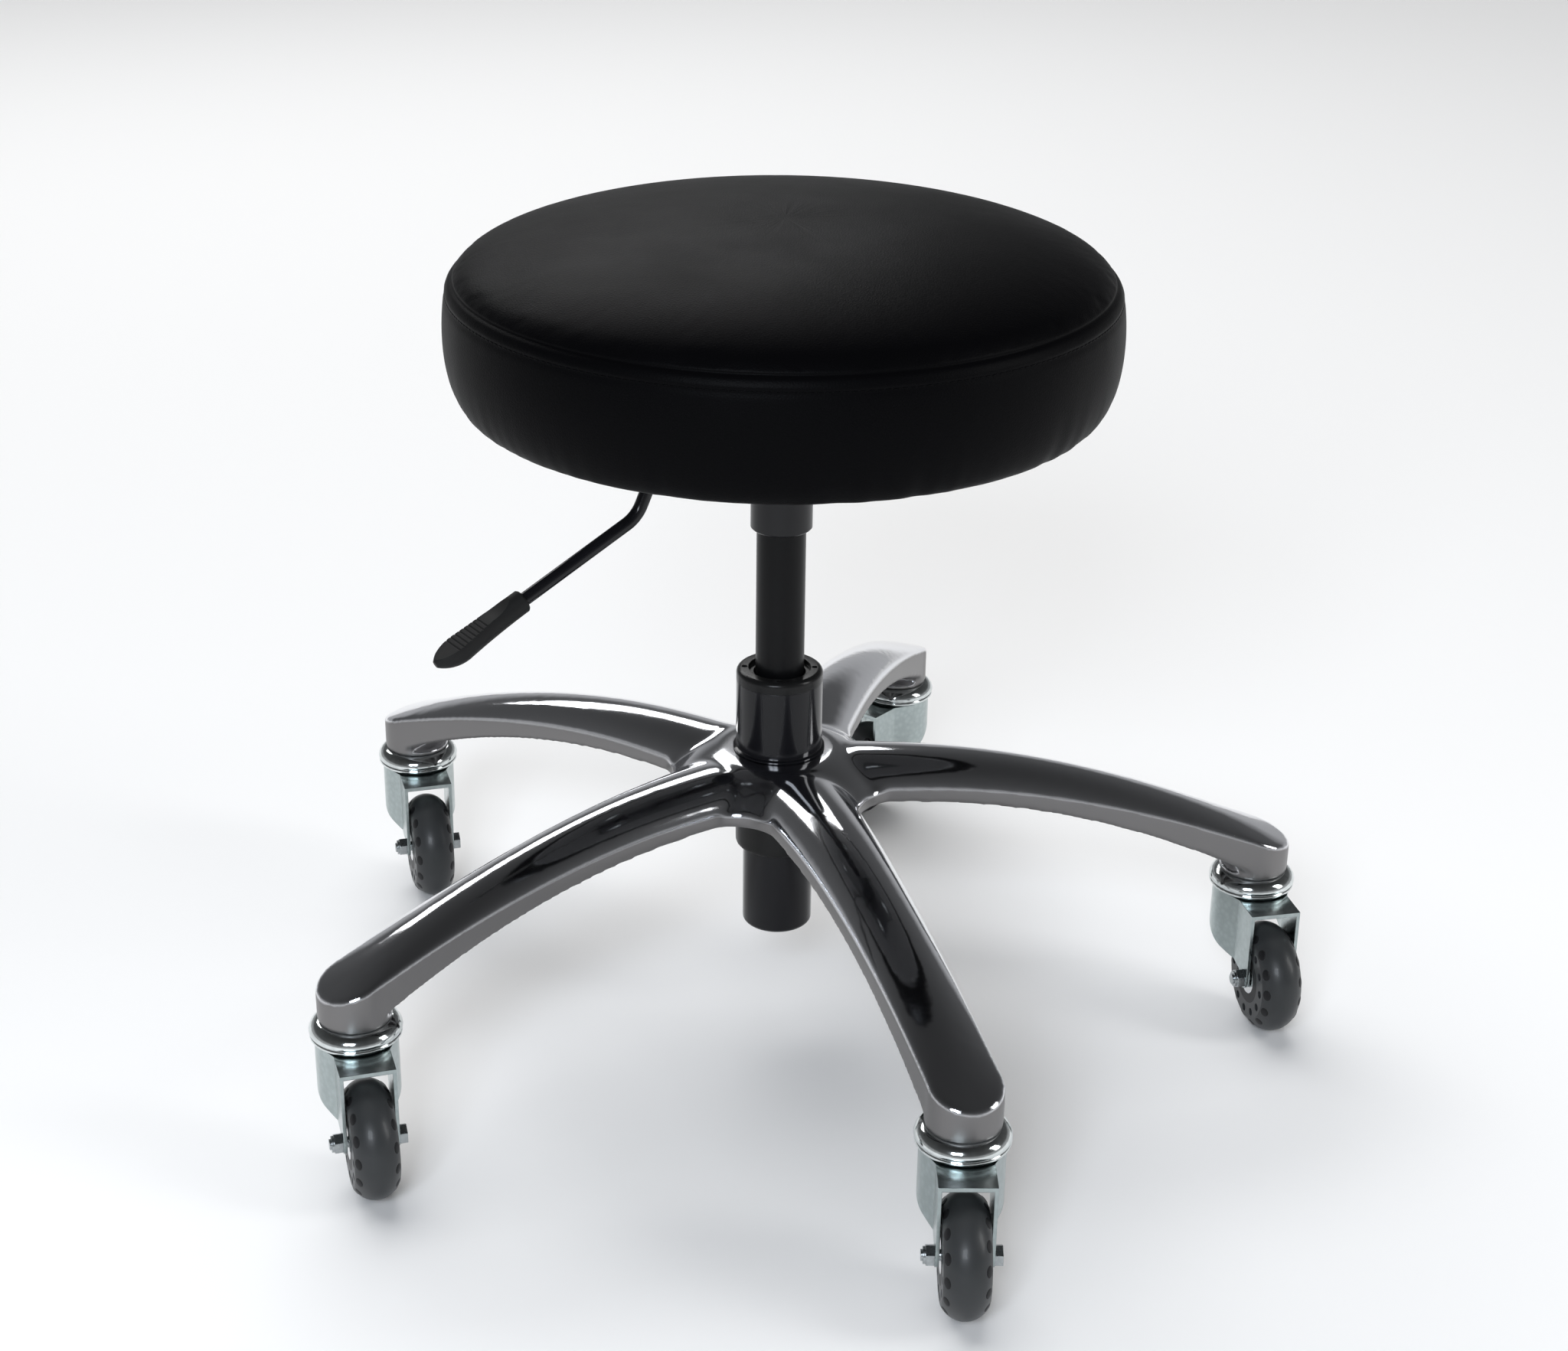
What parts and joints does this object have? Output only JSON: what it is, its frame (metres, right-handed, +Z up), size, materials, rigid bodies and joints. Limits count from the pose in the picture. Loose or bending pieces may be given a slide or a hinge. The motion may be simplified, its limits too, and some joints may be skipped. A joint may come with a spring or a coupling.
{
  "type": "adjustable swivel stool",
  "caption": "Swivel stool with a round padded seat, gas lift with a release lever, black column, and a polished star base on casters.",
  "frame": {"origin": "on the floor, on the stool's turning axis", "axes": "+Z up the column to the seat; the picture's camera looks along +Y, and +X is to its right"},
  "size_m": [0.5717, 0.6333, 0.4821],
  "materials": {
    "polished_aluminium": "polished",
    "column_black": "gloss",
    "cap_plastic": "gloss",
    "bush_plastic": "matte",
    "zinc_steel": "satin",
    "cup_chrome": "polished",
    "ball_steel": "polished",
    "cylinder_black": "satin",
    "plate_black": "satin",
    "plywood": "matte",
    "foam": "matte",
    "vinyl": "satin",
    "dust_cloth": "matte",
    "lever_black": "gloss",
    "grip_rubber": "matte",
    "fork_zinc": "satin",
    "wheel_grey": "satin",
    "core_grey": "satin"
  },
  "bodies": {
    "base": {"base_casting": "polished_aluminium", "column_tube": "column_black", "column_cap": "cap_plastic", "guide_bush": "bush_plastic", "column_end_plate": "zinc_steel", "lower_thrust_washer": "zinc_steel", "race_cups": "cup_chrome", "caster_stems": "zinc_steel", "stem_grip_rings": "zinc_steel", "swivel_balls": "ball_steel"},
    "spindle": {"upper_thrust_washer": "zinc_steel", "thrust_balls": "ball_steel", "rod_clip": "zinc_steel", "piston_rod": "ball_steel", "piston": "bush_plastic"},
    "seat": {"gas_cylinder": "cylinder_black", "rod_guide": "bush_plastic", "seat_plate": "plate_black", "seat_socket": "plate_black", "seat_board": "plywood", "t_nuts": "zinc_steel", "plate_screws": "zinc_steel", "seat_foam": "foam", "seat_cover": "vinyl", "dust_cover": "dust_cloth"},
    "lever": {"lever_rod": "lever_black", "lever_pivot": "bush_plastic", "lever_grip": "grip_rubber"},
    "release": {"release_pin": "ball_steel"},
    "caster_right": {"fork_right": "fork_zinc", "axle_bolt_right": "zinc_steel", "axle_nut_right": "zinc_steel"},
    "wheel_right": {"tyre_right": "wheel_grey", "wheel_core_right": "core_grey", "wheel_bearings_right": "ball_steel"},
    "caster_back": {"fork_back": "fork_zinc", "axle_bolt_back": "zinc_steel", "axle_nut_back": "zinc_steel"},
    "wheel_back": {"tyre_back": "wheel_grey", "wheel_core_back": "core_grey", "wheel_bearings_back": "ball_steel"},
    "caster_back_left": {"fork_back_left": "fork_zinc", "axle_bolt_back_left": "zinc_steel", "axle_nut_back_left": "zinc_steel"},
    "wheel_back_left": {"tyre_back_left": "wheel_grey", "wheel_core_back_left": "core_grey", "wheel_bearings_back_left": "ball_steel"},
    "caster_front_left": {"fork_front_left": "fork_zinc", "axle_bolt_front_left": "zinc_steel", "axle_nut_front_left": "zinc_steel"},
    "wheel_front_left": {"tyre_front_left": "wheel_grey", "wheel_core_front_left": "core_grey", "wheel_bearings_front_left": "ball_steel"},
    "caster_front_right": {"fork_front_right": "fork_zinc", "axle_bolt_front_right": "zinc_steel", "axle_nut_front_right": "zinc_steel"},
    "wheel_front_right": {"tyre_front_right": "wheel_grey", "wheel_core_front_right": "core_grey", "wheel_bearings_front_right": "ball_steel"}
  },
  "joints": [
    {"name": "seat_swivel", "type": "hinge", "parent": "base", "child": "spindle", "pos_m": [0, 0, 0.06], "axis": [0, 0, 1], "continuous": true},
    {"name": "seat_height", "type": "slide", "parent": "spindle", "child": "seat", "axis": [0, 0, 1], "range_m": [-0.076, 0.025]},
    {"name": "lever_lift", "type": "hinge", "parent": "seat", "child": "lever", "pos_m": [-0.0344, -0.02409, 0.36655], "axis": [-0.5736, 0.8192, 0], "range_deg": [0, 6], "stiffness_Nm_per_rad": 0.8, "springref_deg": -11.46},
    {"name": "pin_press", "type": "slide", "parent": "seat", "child": "release", "axis": [0, 0, -1], "range_m": [0, 0.0046]},
    {"name": "caster_swivel_right", "type": "hinge", "parent": "base", "child": "caster_right", "pos_m": [0.28429, 0.00809, 0.077], "axis": [0, 0, 1], "continuous": true},
    {"name": "wheel_roll_right", "type": "hinge", "parent": "caster_right", "child": "wheel_right", "pos_m": [0.29176, -0.0259, 0.0326], "axis": [0.9767, 0.2147, 0], "continuous": true},
    {"name": "caster_swivel_back", "type": "hinge", "parent": "base", "child": "caster_back", "pos_m": [0.08016, 0.27287, 0.077], "axis": [0, 0, 1], "continuous": true},
    {"name": "wheel_roll_back", "type": "hinge", "parent": "caster_back", "child": "wheel_back", "pos_m": [0.05779, 0.24621, 0.0326], "axis": [0.766, -0.6428, 0], "continuous": true},
    {"name": "caster_swivel_back_left", "type": "hinge", "parent": "base", "child": "caster_back_left", "pos_m": [-0.23475, 0.16055, 0.077], "axis": [0, 0, 1], "continuous": true},
    {"name": "wheel_roll_back_left", "type": "hinge", "parent": "caster_back_left", "child": "wheel_back_left", "pos_m": [-0.22515, 0.1271, 0.0326], "axis": [0.9613, 0.2756, 0], "continuous": true},
    {"name": "caster_swivel_front_left", "type": "hinge", "parent": "base", "child": "caster_front_left", "pos_m": [-0.22524, -0.17364, 0.077], "axis": [0, 0, 1], "continuous": true},
    {"name": "wheel_roll_front_left", "type": "hinge", "parent": "caster_front_left", "child": "wheel_front_left", "pos_m": [-0.21506, -0.20692, 0.0326], "axis": [0.9563, 0.2924, 0], "continuous": true},
    {"name": "caster_swivel_front_right", "type": "hinge", "parent": "base", "child": "caster_front_right", "pos_m": [0.09554, -0.26787, 0.077], "axis": [0, 0, 1], "continuous": true},
    {"name": "wheel_roll_front_right", "type": "hinge", "parent": "caster_front_right", "child": "wheel_front_right", "pos_m": [0.09609, -0.30267, 0.0326], "axis": [0.9999, 0.0157, 0], "continuous": true}
  ],
  "couplings": [
    {"joint": "pin_press", "follows": "lever_lift", "m_per_rad": 0.042}
  ]
}
